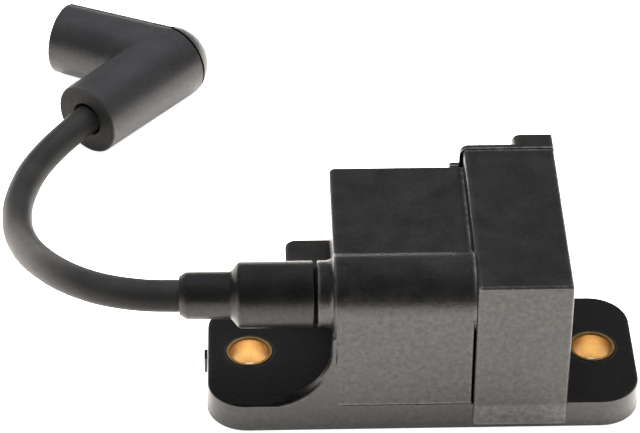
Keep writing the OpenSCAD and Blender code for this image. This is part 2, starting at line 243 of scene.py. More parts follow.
bootPlace = {"knee": (-57.0, 111.0, 9.5), "armTurn": 230, "nozzleTurn": 155}
knee = np.array(bootPlace["knee"])
armWay, nozzleWay = (
    np.array([np.cos(np.radians(a)), np.sin(np.radians(a)), 0.0])
    for a in (bootPlace["armTurn"], bootPlace["nozzleTurn"])
)
leadSettings = {
    "radius": 3.5,
    "sides": 48,
    "perSpan": 10,
    "exit": (-0.0269, -0.0103, 0.031),
    "route": [
        (-14, -10.3, 31), (-35, -10.3, 31), (-48, -10.3, 31), (-54, -10.3, 31), (-60.1, -9.2, 30.4),
        (-65.2, -7.2, 29.6), (-70.5, -3.7, 28.2), (-74.6, 0.3, 26.7), (-78.2, 5.2, 24.7),
        (-81.1, 10.4, 22.5), (-83.6, 15.9, 20.1), (-85.8, 21.7, 17.5), (-87.8, 27.7, 15),
        (-89.5, 33.9, 12.7), (-90.9, 40.1, 10.8), (-91.7, 46.5, 9.5), (-91.9, 53.1, 8.7),
        (-91.1, 59.8, 8.3), (-89, 67.5, 8.4), (-85.6, 74.6, 8.7), (-81.5, 81, 9.1),
        *(tuple(knee + armWay * reach) for reach in (31.5, 23, 9.1)),
    ],
}


def smoothPath(route, perSpan):
    # cubic between each two points; the slope at a point is the mean of its two chords' slopes, the
    # shorter chord counting for more
    p = np.array(route, float)
    span = np.linalg.norm(np.diff(p, axis=0), axis=1)[:, None]
    slope = np.diff(p, axis=0) / span
    inner = (slope[:-1] * span[1:] + slope[1:] * span[:-1]) / (span[1:] + span[:-1])
    m = np.concatenate([slope[:1], inner, slope[-1:]])
    t = np.linspace(0, 1, perSpan, endpoint=False)[None, :, None]
    p0, p1, m0, m1, h = p[:-1, None], p[1:, None], m[:-1, None], m[1:, None], span[:, None]
    body = (
        (2 * t**3 - 3 * t**2 + 1) * p0 + (t**3 - 2 * t**2 + t) * h * m0
        + (3 * t**2 - 2 * t**3) * p1 + (t**3 - t**2) * h * m1
    )
    return np.concatenate([body.reshape(-1, 3), p[-1:]])


def tubeAlong(name, path, radius, sides):
    # a circle carried along the path, square to it: path + radius * (cos turn * side + sin turn * up)
    way = unit(np.gradient(path, axis=0))
    side = unit(np.cross([0, 0, 1.0], way))
    up = np.cross(way, side)
    turn = np.arange(sides) * 2 * np.pi / sides
    ring = np.cos(turn)[None, :, None] * side[:, None] + np.sin(turn)[None, :, None] * up[:, None]
    points = (path[:, None] + radius * ring).reshape(-1, 3)
    last = (len(path) - 1) * sides
    caps = [list(range(sides))[::-1], list(range(last, last + sides))]
    return putMesh(name, points, gridFaces(len(path), sides), caps)


leadPath = smoothPath(leadSettings["route"], leadSettings["perSpan"])
lead = tubeAlong("highTensionLead", leadPath, leadSettings["radius"], leadSettings["sides"])
leadLength = float(np.linalg.norm(np.diff(leadPath, axis=0), axis=1).sum())
finishPiece(lead, "coil", ["ht_lead"], sharp=60)
print("lead is", round(leadLength, 1), "mm along its middle")


# plug boot on the lead's far end

bootShape = {
    "arm": {"length": 31.0, "rim": 9.0, "root": 9.3, "edge": 0.3, "seam": -2.0, "seamWide": 0.7,
            "seamDeep": 0.5, "seamEdge": 0.25},
    "nozzle": {"length": 30.0, "rim": 8.9, "root": 9.3, "edge": 0.7},
    "partingLine": {"turn": 69, "wide": 0.9, "deep": 0.45},
    "dome": 9.5,
    "hollow": 4.1,
    "leadHole": {"from": 2, "bore": 3.56, "mouth": 4.15, "mouthDeep": 2.2, "flare": 0.9},
    "socket": {"from": 3, "chamber": 4.5, "chamberEnd": 12, "bore": 5.2, "groove": (4, 3.6, 2.8, 2.4),
               "grooveDeep": 0.25, "lip": 0.8, "flare": 1.4},
}
partingTurn = np.radians(bootShape["partingLine"]["turn"])
partingOut = np.array([
    nozzleWay[1] * np.cos(partingTurn), -nozzleWay[0] * np.cos(partingTurn), np.sin(partingTurn),
])


def makeBoot(s):
    arm, nozzle = s["arm"], s["nozzle"]
    low = arm["seam"] - arm["seamWide"]
    turn = np.linspace(np.arccos(-low / s["dome"]), 0, 26)
    dome = np.stack([-s["dome"] * np.cos(turn), s["dome"] * np.sin(turn)], -1)
    seamFloor = arm["root"] - arm["seamDeep"]
    outer = roundCorners(
        [(arm["length"], 0), (arm["length"], arm["rim"]), (arm["seam"], arm["root"]),
         (arm["seam"], seamFloor), (low, seamFloor)],
        [0, arm["edge"], arm["seamEdge"], 0.05, 0.05], closed=False,
    )
    boot = lathe("plugBoot", np.concatenate([outer, dome]), knee, armWay)
    tip = roundCorners(
        [(0, 0), (0, nozzle["root"]), (nozzle["length"], nozzle["rim"]), (nozzle["length"], 0)],
        [0, 0.5, nozzle["edge"], 0], closed=False,
    )
    add(boot, lathe("tip", tip, knee, nozzleWay))
    line, out = s["partingLine"], partingOut
    ends = [knee + out * (nozzle["root"] - line["deep"]),
            knee + nozzleWay * (nozzle["length"] + 1) + out * (nozzle["rim"] - line["deep"])]
    cut(boot, bar("groove", ends, out, line["wide"], 2))
    hole, mouth = s["leadHole"], arm["length"]
    step = mouth - hole["mouthDeep"]
    leadBore = [
        (hole["from"], 0), (hole["from"], hole["bore"]), (step, hole["bore"]),
        (step + 0.5, hole["mouth"] - 0.2), (mouth - 0.3, hole["mouth"]),
        (mouth + 1, hole["mouth"] + hole["flare"]), (mouth + 1, 0),
    ]
    socket, end = s["socket"], nozzle["length"]
    g0, g1, g2, g3 = (end - g for g in socket["groove"])
    bore = socket["bore"]
    wide = bore + socket["grooveDeep"]
    plugBore = [
        (socket["from"], 0), (socket["from"], socket["chamber"]), (socket["chamberEnd"], socket["chamber"]),
        (socket["chamberEnd"], bore), (g0, bore), (g1, wide), (g2, wide), (g3, bore),
        (end - socket["lip"], bore), (end + 1, bore + socket["flare"]), (end + 1, 0),
    ]
    turn = np.linspace(np.pi, 0, 25)
    ball = np.stack([s["hollow"] * np.cos(turn), s["hollow"] * np.sin(turn)], -1)
    ball[[0, -1], 1] = 0
    cut(boot, lathe("bore", leadBore, knee, armWay), lathe("ball", ball, knee, nozzleWay),
        lathe("socket", plugBore, knee, nozzleWay))
    return finishPiece(boot, "plug", ["plug_boot"], sharp=40)


boot = makeBoot(bootShape)


# base plate with its ears, gusset and locating nub

plateLo, plateHi = boxOf("base_plate")
housingLo, housingHi = boxOf("electronics_housing")
plateShape = {
    "thick": 7.0,
    "earCorner": 9.0,
    "earBack": 18.0,
    "earSide": plateHi[0],
    "front": plateLo[1],
    "back": plateHi[1],
    "draft": 0.28,
    "topEdge": 0.55,
    "footEdge": 0.45,
    "caseLeft": -19.6,
    "window": ((-17.8, -16.9), (8.2, 28.8)),
    "gussetThick": 3.2,
    "gussetArc": 14.3,
    "gussetEdge": (0.9, 0.45),
    "gussetReach": 1.6,
    "gussetPost": 2.6,
    "nub": (1.4, 4.8, 4.0),
    "seatGap": 0.35,
    "seatMouth": 0.3,
}


def makePlate(s):
    side, front, back = s["earSide"], s["front"], s["back"]
    plate = prism(
        "basePlate", roundRect((-side, front), (side, s["earBack"]), s["earCorner"], 20), 0, s["thick"],
        roundLo=s["footEdge"], roundHi=s["topEdge"], draft=s["draft"],
    )
    add(plate, prism(
        "body", roundRect((s["caseLeft"], -2), (housingHi[0], back), 1.0), 0, s["thick"],
        roundLo=s["footEdge"], roundHi=0.3, draft=0.02,
    ))
    foot, arc = s["caseLeft"] - 0.7 - s["gussetArc"], s["gussetArc"]
    inward = s["caseLeft"] + s["gussetReach"]
    turn = np.radians(np.linspace(-90, 0, 30))
    curve = np.stack([foot + arc * np.cos(turn), s["thick"] + arc + arc * np.sin(turn)], -1)
    rest = [
        (foot + arc + 0.25, s["thick"] + arc + 3.2), (inward, s["thick"] + arc + 5.4),
        (inward, s["thick"] - 2), (foot, s["thick"] - 2),
    ]
    webFront = front + s["draft"]
    add(plate, prism(
        "web", np.concatenate([curve, rest]), webFront, front + s["gussetThick"], "y",
        roundLo=s["gussetEdge"][0], roundHi=s["gussetEdge"][1],
    ))
    # behind the case's rounded front corner the web runs on flush
    add(plate, block(
        (s["caseLeft"] + 0.3, webFront, s["thick"] - 1),
        (s["caseLeft"] + 1.5, webFront + 1.2, s["thick"] + arc + s["gussetPost"]),
    ))
    y0, y1, high = s["nub"]
    nubLine = roundRect((plateLo[0], y0), (1 - side, y1), 0.25)
    add(plate, prism("nub", nubLine, 0, high, roundLo=0.1, roundHi=0.3))
    (x0, w0), (x1, w1) = s["window"]
    cut(plate, prism("window", roundRect((x0, w0), (x1, w1), 2), -1, s["thick"] + 1))
    for node in ("bushing_left", "bushing_right"):
        lo, hi = boxOf(node)
        r, gap, thick = (hi[0] - lo[0]) / 2, s["seatGap"], s["thick"]
        topR = r + s["seatMouth"]
        seat = roundCorners(
            [(-1, 0), (-1, r + gap), (0, r + gap), (gap, r), (thick - gap, r), (thick, topR),
             (thick + 1, topR), (thick + 1, 0)],
            [0, 0, 0, 0.1, 0.12, 0, 0, 0], closed=False,
        )
        cut(plate, lathe("seat", seat, ((lo[0] + hi[0]) / 2, (lo[1] + hi[1]) / 2, 0), (0, 0, 1)))
    return finishPiece(plate, "coil", ["base_plate"])


plate = makePlate(plateShape)


# brass bushings: sleeves with two holding grooves and a chamfered bore

bushingShape = {
    "bore": 4.2, "boreEdge": 0.3, "rim": 0.12, "grooves": (2.4, 4.6), "grooveWide": 0.8, "grooveDeep": 0.35,
}


def makeBushing(name, node, s):
    lo, hi = boxOf(node)
    r, tall = (hi[0] - lo[0]) / 2, hi[2] - lo[2]
    wide, deep = s["grooveWide"] / 2, s["grooveDeep"]
    outside = []
    for g in s["grooves"]:
        outside += [(g - wide, r), (g - wide, r - deep), (g + wide, r - deep), (g + wide, r)]
    corners = [
        (0, s["bore"] + s["boreEdge"]), (0, r), *outside, (tall, r), (tall, s["bore"] + s["boreEdge"]),
        (tall - s["boreEdge"], s["bore"]), (s["boreEdge"], s["bore"]),
    ]
    radii = [0.05, s["rim"], *([0.08] * len(outside)), s["rim"], 0.1, 0.2, 0.2]
    foot = ((lo[0] + hi[0]) / 2, (lo[1] + hi[1]) / 2, lo[2])
    bushing = lathe(name, roundCorners(corners, radii, 4), foot, (0, 0, 1))
    return finishPiece(bushing, "coil", [node], sharp=50)


bushings = [makeBushing("bushingLeft", "bushing_left", bushingShape),
            makeBushing("bushingRight", "bushing_right", bushingShape)]


# coil case: block, barrel, tower and rear lug in one moulding

caseLo, caseHi = boxOf("coil_case")
caseShape = {
    "left": -19.6,
    "right": 10.0,
    "front": -18.86,
    "seam": 10.36,
    "top": 34.8,
    "wall": 1.8,
    "corner": 1.2,
    "topEdge": 0.6,
    "barrel": {"y": -10.3, "z": 31.0, "r": 8.6, "edge": 0.3},
    "tower": {"flare": 1.9, "collar": 7.15, "collarEnd": 3.7, "neck": 5.8, "spigot": 5.3, "end": 7.3,
              "bore": 3.6},
    "lug": {"left": caseLo[0], "front": 18.4, "top": 14.7, "corner": 2.5, "edge": 0.4},
    "wireGap": {"y": (22, 26.4), "z": (14, 26.4)},
    "boss": (-8.6, -1),
    "pinHole": {"from": -11, "to": -6, "r": 1.5},
}


def makeCase(s):
    base, back = plateShape["thick"], plateShape["back"]
    barrel, tower, lug = s["barrel"], s["tower"], s["lug"]
    y, z = barrel["y"], barrel["z"]
    low = roundRect((s["left"], s["front"]), (s["right"], back), (s["corner"], 0.35, 0.35, s["corner"]))
    case = prism("coilCase", low, base, z)
    high = roundRect((s["left"], y), (s["seam"] + 1, back), (s["corner"], 0.3, 0.3, s["corner"]))
    add(
        case,
        prism("rear", roundRect((s["left"], y), (s["right"], back), s["corner"]), base, s["top"] - 4),
        prism("high", high, base + 19, s["top"], roundHi=s["topEdge"]),
    )
    edge = barrel["edge"]
    drum = roundCorners(
        [(s["left"], 0), (s["left"], barrel["r"]), (s["seam"] + 1, barrel["r"]), (s["seam"] + 1, 0)],
        [0, edge, edge, 0], closed=False,
    )
    add(case, lathe("drum", drum, (0, y, z), (1, 0, 0), 192))
    cut(case, block((s["seam"], s["front"] - 9, base), (s["seam"] + 3, back + 3, s["top"] + 9)))
    far, collarEnd = tower["collar"] + tower["flare"], tower["collarEnd"]
    flare = roundCorners(
        [(-1.4, 0), (-1.4, far), (0.02, far), (0.02, tower["collar"]), (collarEnd, tower["collar"]),
         (collarEnd, tower["neck"]), (collarEnd + 0.5, tower["neck"]),
         (collarEnd + 0.6, tower["spigot"]), (tower["end"], tower["spigot"]), (tower["end"], 0)],
        [0, 0, 0, tower["flare"] - 0.05, 0.35, 0.1, 0.02, 0.02, 0.45, 0], 12, closed=False,
    )
    neck = lathe("neck", flare, (s["left"], y, z), (-1, 0, 0), 192)
    # the flare stops where the barrel's own outline does, and runs out on the wall behind it
    reach = barrel["r"] - edge
    turn = np.radians(np.linspace(205, 30, 90))
    rim = np.stack([y + reach * np.cos(turn), z + reach * np.sin(turn)], -1)
    wall = [(y + 16, s["top"] - s["topEdge"]), (y + 16, z - 16), (s["front"] + s["corner"], z - 16)]
    outline = prism("outline", np.concatenate([rim, wall]), s["left"] - 12, s["left"] + 3, "x")
    join(neck, outline, "INTERSECT")
    corners = (lug["corner"], 0, 0, lug["corner"])
    lugLine = roundRect((lug["left"], lug["front"]), (s["left"] + 0.6, back), corners)
    add(case, neck, prism("lug", lugLine, 0, lug["top"], roundLo=0.3, roundHi=lug["edge"]))
    w, gap = s["wall"], s["wireGap"]
    inner = barrel["r"] - w
    hollow = [(s["left"] + w, 0), (s["left"] + w, inner), (s["right"] - w, inner), (s["right"] - w, 0)]
    cut(
        case,
        block((s["left"] + w, s["front"] + w, base - 1), (s["right"] - w, back - w, s["top"] - w)),
        lathe("hollow", hollow, (0, y, z), (1, 0, 0)),
        block((s["right"] - w - 1, gap["y"][0], gap["z"][0]), (s["right"] + 3, gap["y"][1], gap["z"][1])),
    )
    place, way = (s["left"], y, z), (-1, 0, 0)
    deep, near = s["boss"]
    inside = [(deep, 0), (deep, tower["spigot"]), (near, tower["spigot"]), (near, 0)]
    add(case, lathe("boss", inside, place, way))
    end, r, pin = tower["end"], tower["bore"], s["pinHole"]
    bore = [(-6.6, 0), (-6.6, r), (end - 0.6, r), (end + 0.6, r + 1.0), (end + 0.6, 0)]
    pinBore = [(pin["from"], 0), (pin["from"], pin["r"]), (pin["to"], pin["r"]), (pin["to"], 0)]
    cut(case, lathe("bore", bore, place, way), lathe("pin", pinBore, place, way))
    return finishPiece(case, "coil", ["coil_case"])


case = makeCase(caseShape)


# electronics housing and its rear cover

housingShape = {
    "left": housingLo[0],
    "right": housingHi[0],
    "front": housingLo[1],
    "foot": housingLo[2],
    "top": housingHi[2],
    "back": housingHi[1],
    "wall": 1.8,
    "corner": 0.7,
    "topEdge": 0.55,
    "footEdge": 0.5,
    "endCorners": (1.2, 1.2, 0.9, 0.9),
}


def makeHousing(s):
    w, base, gap = s["wall"], plateShape["thick"], caseShape["wireGap"]
    housing = prism(
        "electronicsHousing", roundRect((s["left"], s["front"]), (s["right"], s["back"] + 3), s["corner"]),
        s["foot"], s["top"], roundLo=s["footEdge"], roundHi=s["topEdge"],
    )
    endLine = roundRect((s["left"], s["foot"]), (s["right"], s["top"]), s["endCorners"])
    join(housing, prism("corners", endLine, s["front"] - 1, s["back"] + 4, "y"), "INTERSECT")
    cut(
        housing,
        block((s["left"] - 5, s["back"], -5), (s["right"] + 5, s["back"] + 9, s["top"] + 5)),
        block((s["left"] + w, s["front"] + w, base), (s["right"] - w, s["back"] + 5, s["top"] - w)),
        block((s["left"] - 5, plateShape["front"], -5), (s["right"] + 5, s["back"] + 5, base)),
        block((s["left"] - 1, gap["y"][0], gap["z"][0]), (s["left"] + w + 1, gap["y"][1], gap["z"][1])),
    )
    return finishPiece(housing, "coil", ["electronics_housing"])


housing = makeHousing(housingShape)

coverLo, coverHi = boxOf("rear_cover")
coverShape = {
    "thick": 1.8,
    "stepLeft": 7.4,
    "stepAt": 9.6,
    "stepCorner": 2.0,
    "rim": 0.45,
    "latch": {"left": 21.6, "back": 36.3, "corner": 1.8, "edge": 0.6},
    "shroud": {"lo": (12.5, 12.5), "hi": (29.5, 29.0), "corner": 2.0, "wall": 1.5, "floor": 33.4},
    "nib": {"lo": (18.6, 28.0), "hi": (23.4, 30.2), "end": 44.5},
}


def makeCover(s):
    h, latch, shroud, nib = housingShape, s["latch"], s["shroud"], s["nib"]
    top, right, near = coverHi[2], h["right"], h["back"]
    far = near + s["thick"]
    outline = roundCorners(
        [(s["stepLeft"], h["foot"]), (right, h["foot"]), (right, top), (s["stepAt"], top),
         (s["stepAt"], caseShape["top"]), (s["stepLeft"], caseShape["top"])],
        [0.5, 0.5, 0.7, s["stepCorner"], 0.2, 0.5],
    )
    cover = prism("rearCover", outline, near, far, "y", roundHi=s["rim"])
    below = shroud["hi"][1] - 1
    latchLine = roundCorners(
        [(latch["left"], below), (right, below), (right, top), (latch["left"], top)],
        [0.3, 0.3, 0.7, latch["corner"]],
    )
    shroudLine = roundRect(shroud["lo"], shroud["hi"], shroud["corner"])
    add(
        cover,
        prism("latch", latchLine, near + 0.6, latch["back"], "y", roundHi=latch["edge"]),
        prism("shroud", shroudLine, near + 0.6, coverHi[1], "y", roundHi=0.35),
        prism("nib", roundRect(nib["lo"], nib["hi"], 0.7), far, nib["end"], "y", roundHi=0.45),
    )
    w, inner = h["wall"], h["top"] - h["wall"] - 0.1
    for x in (h["left"] + w + 0.1, h["right"] - w - 1.1):
        add(cover, block((x, near - 2, plateShape["thick"]), (x + 1, near + 1, inner)))
    lo, hi = np.array(shroud["lo"]) + shroud["wall"], np.array(shroud["hi"]) - shroud["wall"]
    cut(cover, prism("pocket", roundRect(lo, hi, 1.0), shroud["floor"], coverHi[1] + 1, "y"))
    return finishPiece(cover, "coil", ["rear_cover"])


cover = makeCover(coverShape)

pinShape = {
    "across": (17.6, 24.4), "up": (17.6, 23.9), "wide": 2.3, "thick": 0.8, "from": 26.0, "to": 40.4,
    "tip": 0.36,
}


def makePins(s):
    pins = None
    w, t = s["wide"] / 2, s["thick"] / 2
    for x in s["across"]:
        for z in s["up"]:
            line = roundRect((x - w, z - t), (x + w, z + t), 0.12, 3)
            pin = prism(
                "connectorPins", line, s["from"], s["to"], "y",
                roundLo=0.1, roundHi=s["tip"] * 0.95, draft=0.02,
            )
            pins = pin if pins is None else join(pins, pin)
    return finishPiece(pins, "coil", ["connector_pins"], sharp=45)


pins = makePins(pinShape)

sealShape = {"gap": 0.1, "wide": 1.6, "deep": 1.4}


def makeSeal(s):
    shroud = coverShape["shroud"]
    lo = np.array(shroud["lo"]) + shroud["wall"] + s["gap"]
    hi = np.array(shroud["hi"]) - shroud["wall"] - s["gap"]
    y0 = shroud["floor"]
    seal = prism("connectorSeal", roundRect(lo, hi, 0.9), y0, y0 + s["deep"], "y", roundHi=0.5)
    cut(seal, prism("hole", roundRect(lo + s["wide"], hi - s["wide"], 0.6), y0 - 1, y0 + 3, "y"))
    return finishPiece(seal, "coil", ["connector_seal"])


seal = makeSeal(sealShape)


# potting resin under the case: it creeps up its walls and has set with slow ripples

resinShape = {"creep": 0.45, "creepWide": 1.1, "ripple": 0.05, "across": 70, "along": 110}


def makeResin(s):
    # underside: lowest level + creep * (1 - exp(-distance to the wall / creepWide)) + two crossed sine
    # ripples that die out at the wall
    lo, hi = boxOf("potting_resin")
    nx, ny = s["across"], s["along"]
    # the grid's lines stand closer together near the walls
    across, along = (0.5 - 0.5 * np.cos(np.linspace(0, np.pi, n)) for n in (nx, ny))
    x, y = np.meshgrid(lo[0] + (hi[0] - lo[0]) * across, lo[1] + (hi[1] - lo[1]) * along, indexing="ij")
    gap = np.minimum.reduce([x - lo[0], hi[0] - x, y - lo[1], hi[1] - y])
    ripple = s["ripple"] * (np.sin(x * 0.55 + 0.8) * np.cos(y * 0.31) + 0.5 * np.sin(x * 0.2 - y * 0.7))
    creep = s["creep"] * (1 - np.exp(-gap / s["creepWide"]))
    under = lo[2] + s["ripple"] * 1.5 + ripple * (1 - np.exp(-gap)) + creep
    points = np.concatenate([
        np.stack([x, y, level], -1).reshape(-1, 3) for level in (under, np.full_like(x, hi[2]))
    ])
    flat = gridFaces(nx, ny, joinCols=False)
    index = np.arange(nx * ny).reshape(nx, ny)
    edge = np.concatenate([index[:-1, 0], index[-1, :-1], index[:0:-1, -1], index[0, :0:-1]])
    after = np.roll(edge, -1)
    sides = np.stack([edge, after, after + nx * ny, edge + nx * ny], -1)
    resin = putMesh("pottingResin", points, np.concatenate([flat, flat[:, ::-1] + nx * ny, sides]))
    return finishPiece(resin, "coil", ["potting_resin"])


resin = makeResin(resinShape)


# rubber sleeve over the tower and the start of the lead

sleeveLo, sleeveHi = boxOf("tower_sleeve")
sleeveShape = {
    "big": 7.15,
    "small": 5.1,
    "shoulder": 15.8,
    "waist": 17.7,
    "spigot": 5.38,
    "spigotDeep": 3.5,
    "leadBore": 3.9,
    "frontEdge": 0.5,
    "tailLong": 1.5,
}


def makeSleeve(s):
    long = sleeveHi[0] - sleeveLo[0]
    corners = [
        (0, s["spigot"]), (0, s["big"]), (s["shoulder"] + 0.3, s["big"]), (s["waist"], s["small"]),
        (long - s["tailLong"], s["small"]), (long, s["leadBore"] + 0.3), (long, s["leadBore"]),
        (s["spigotDeep"], s["leadBore"]), (s["spigotDeep"], s["spigot"]),
    ]
    radii = [0.3, s["frontEdge"], 1.3, 0.9, 1.6, 0.1, 0.0, 0.1, 0.1]
    place = (sleeveHi[0], caseShape["barrel"]["y"], caseShape["barrel"]["z"])
    sleeve = lathe("towerSleeve", roundCorners(corners, radii, 10), place, (-1, 0, 0), 160)
    return finishPiece(sleeve, "sleeve", ["tower_sleeve"], sharp=50)


sleeve = makeSleeve(sleeveShape)


# finishes: effects that several materials share


def newGroup(name, inputs, outputs):
    group = bpy.data.node_groups.new(name, "ShaderNodeTree")
    for label, value in inputs.items():
        kind = "NodeSocketVector" if isinstance(value, tuple) else "NodeSocketFloat"
        group.interface.new_socket(name=label, in_out="INPUT", socket_type=kind).default_value = value
    for label in outputs:
        group.interface.new_socket(name=label, in_out="OUTPUT", socket_type="NodeSocketFloat")
    return group, group.nodes.new("NodeGroupInput"), group.nodes.new("NodeGroupOutput")


def wire(tree, source, target):
    tree.links.new(source, target)


def mathNode(tree, work, a, b=None, c=None, clamp=False):
    node = tree.nodes.new("ShaderNodeMath")
    node.operation, node.use_clamp = work, clamp
    for socket, value in zip(node.inputs, (a, b, c)):
        if value is None:
            continue
        if isinstance(value, (int, float)):
            socket.default_value = value
        else:
            wire(tree, value, socket)
    return node.outputs[0]


def noiseAt(tree, place, scale, detail=4.0, rough=0.55):
    node = tree.nodes.new("ShaderNodeTexNoise")
    node.inputs["Detail"].default_value = detail
    node.inputs["Roughness"].default_value = rough
    wire(tree, place, node.inputs["Vector"])
    if isinstance(scale, (int, float)):
        node.inputs["Scale"].default_value = scale
    else:
        wire(tree, scale, node.inputs["Scale"])
    return node.outputs["Fac"]


def rangeOf(tree, value, low, high, outLow=0.0, outHigh=1.0):
    node = tree.nodes.new("ShaderNodeMapRange")
    node.clamp = True
    node.inputs["To Min"].default_value, node.inputs["To Max"].default_value = outLow, outHigh
    wire(tree, value, node.inputs["Value"])
    for label, bound in (("From Min", low), ("From Max", high)):
        if isinstance(bound, (int, float)):
            node.inputs[label].default_value = bound
        else:
            wire(tree, bound, node.inputs[label])
    return node.outputs["Result"]


def makeGrainGroup():
    # fine mould texture with small pits over slow blotches and a middling soil; all run from 0 to 1
    values = {"Fine": 2200.0, "Blotch": 90.0, "Pits": 0.5}
    g, inside, out = newGroup("mouldGrain", values, ("Height", "Blotches", "Soil"))
    place = g.nodes.new("ShaderNodeTexCoord").outputs["Object"]
    fine = noiseAt(g, place, inside.outputs["Fine"], 3.0, 0.6)
    pit = g.nodes.new("ShaderNodeTexVoronoi")
    wire(g, place, pit.inputs["Vector"])
    wire(g, mathNode(g, "MULTIPLY", inside.outputs["Fine"], 0.45), pit.inputs["Scale"])
    pits = mathNode(g, "MULTIPLY", rangeOf(g, pit.outputs["Distance"], 0.0, 0.45), inside.outputs["Pits"])
    height = mathNode(g, "ADD", mathNode(g, "MULTIPLY", fine, 0.7), mathNode(g, "MULTIPLY", pits, 0.5))
    wire(g, height, out.inputs["Height"])
    slow = noiseAt(g, place, inside.outputs["Blotch"], 5.0, 0.6)
    wire(g, rangeOf(g, slow, 0.32, 0.68), out.inputs["Blotches"])
    soil = noiseAt(g, place, mathNode(g, "MULTIPLY", inside.outputs["Fine"], 0.45), 6.0, 0.75)
    wire(g, rangeOf(g, soil, 0.3, 0.7), out.inputs["Soil"])
    return g


def makeWearGroup():
    # rubbed edges, and on the brass rims a painted highlight as well: where another face lies close behind
    # the surface, broken up by noise
    values = {"Reach": 0.0009, "Start": 0.12, "Full": 0.45, "Break": 700.0}
    g, inside, out = newGroup("edgeWearAndSheen", values, ("Mask",))
    place = g.nodes.new("ShaderNodeTexCoord").outputs["Object"]
    depth = g.nodes.new("ShaderNodeAmbientOcclusion")
    depth.inside, depth.only_local, depth.samples = True, True, 6
    wire(g, inside.outputs["Reach"], depth.inputs["Distance"])
    thin = mathNode(g, "SUBTRACT", 1.0, depth.outputs["AO"])
    edge = rangeOf(g, thin, inside.outputs["Start"], inside.outputs["Full"])
    broken = rangeOf(g, noiseAt(g, place, inside.outputs["Break"], 3.0), 0.35, 0.62, 0.35, 1.0)
    wire(g, mathNode(g, "MULTIPLY", edge, broken, clamp=True), out.inputs["Mask"])
    return g


def makeDustGroup():
    # fine dust that lies where the surface faces up, thicker in drifts
    g, inside, out = newGroup("dust", {"Amount": 0.3, "Scale": 160.0, "Uprightness": 0.2}, ("Mask",))
    coords = g.nodes.new("ShaderNodeTexCoord")
    split = g.nodes.new("ShaderNodeSeparateXYZ")
    wire(g, coords.outputs["Normal"], split.inputs[0])
    facing = rangeOf(g, split.outputs["Z"], inside.outputs["Uprightness"], 1.0)
    lie = noiseAt(g, coords.outputs["Object"], inside.outputs["Scale"], 6.0, 0.65)
    drift = rangeOf(g, lie, 0.35, 0.7, 0.3, 1.0)
    laid = mathNode(g, "MULTIPLY", facing, drift)
    wire(g, mathNode(g, "MULTIPLY", laid, inside.outputs["Amount"], clamp=True), out.inputs["Mask"])
    return g


def makeSpeckGroup():
    # scattered small specks: cells whose random value is below the share show a dot at their middle
    g, inside, out = newGroup("specks", {"Scale": 900.0, "Size": 0.25, "Share": 0.2}, ("Mask",))
    place = g.nodes.new("ShaderNodeTexCoord").outputs["Object"]
    cell = g.nodes.new("ShaderNodeTexVoronoi")
    wire(g, place, cell.inputs["Vector"])
    wire(g, inside.outputs["Scale"], cell.inputs["Scale"])
    dot = mathNode(g, "LESS_THAN", cell.outputs["Distance"], inside.outputs["Size"])
    split = g.nodes.new("ShaderNodeSeparateColor")
    wire(g, cell.outputs["Color"], split.inputs[0])
    shown = mathNode(g, "LESS_THAN", split.outputs[0], inside.outputs["Share"])
    wire(g, mathNode(g, "MULTIPLY", dot, shown), out.inputs["Mask"])
    return g


def makeTurnsGroup():
    # even rounded ridges along one direction: wire turns, laminations or wound film, from 0 to 1
    g, inside, out = newGroup("turns", {"Direction": (0.0, 4000.0, 0.0)}, ("Height",))
    place = g.nodes.new("ShaderNodeTexCoord").outputs["Object"]
    along = g.nodes.new("ShaderNodeVectorMath")
    along.operation = "DOT_PRODUCT"
    wire(g, place, along.inputs[0])
    wire(g, inside.outputs["Direction"], along.inputs[1])
    wave = mathNode(g, "ABSOLUTE", mathNode(g, "SINE", along.outputs["Value"]))
    wire(g, wave, out.inputs["Height"])
    return g


grainGroup, wearAndSheenGroup, dustGroup = makeGrainGroup(), makeWearGroup(), makeDustGroup()
speckGroup, turnsGroup = makeSpeckGroup(), makeTurnsGroup()
print("shared effects made")


def placeGroup(tree, group, **values):
    node = tree.nodes.new("ShaderNodeGroup")
    node.node_tree = group
    for label, value in values.items():
        node.inputs[label].default_value = value
    return node


def mixColour(tree, share, a, b):
    node = tree.nodes.new("ShaderNodeMix")
    node.data_type = "RGBA"
    wire(tree, share, node.inputs["Factor"])
    for socket, value in ((node.inputs[6], a), (node.inputs[7], b)):
        if isinstance(value, tuple):
            socket.default_value = (*value, 1.0)
        else:
            wire(tree, value, socket)
    return node.outputs[2]


def grey(value, warm=0.0):  # a linear grey, a little warmer or cooler
    return (value * (1 + warm), value, value * (1 - warm))


dustColour = (0.2, 0.195, 0.185)


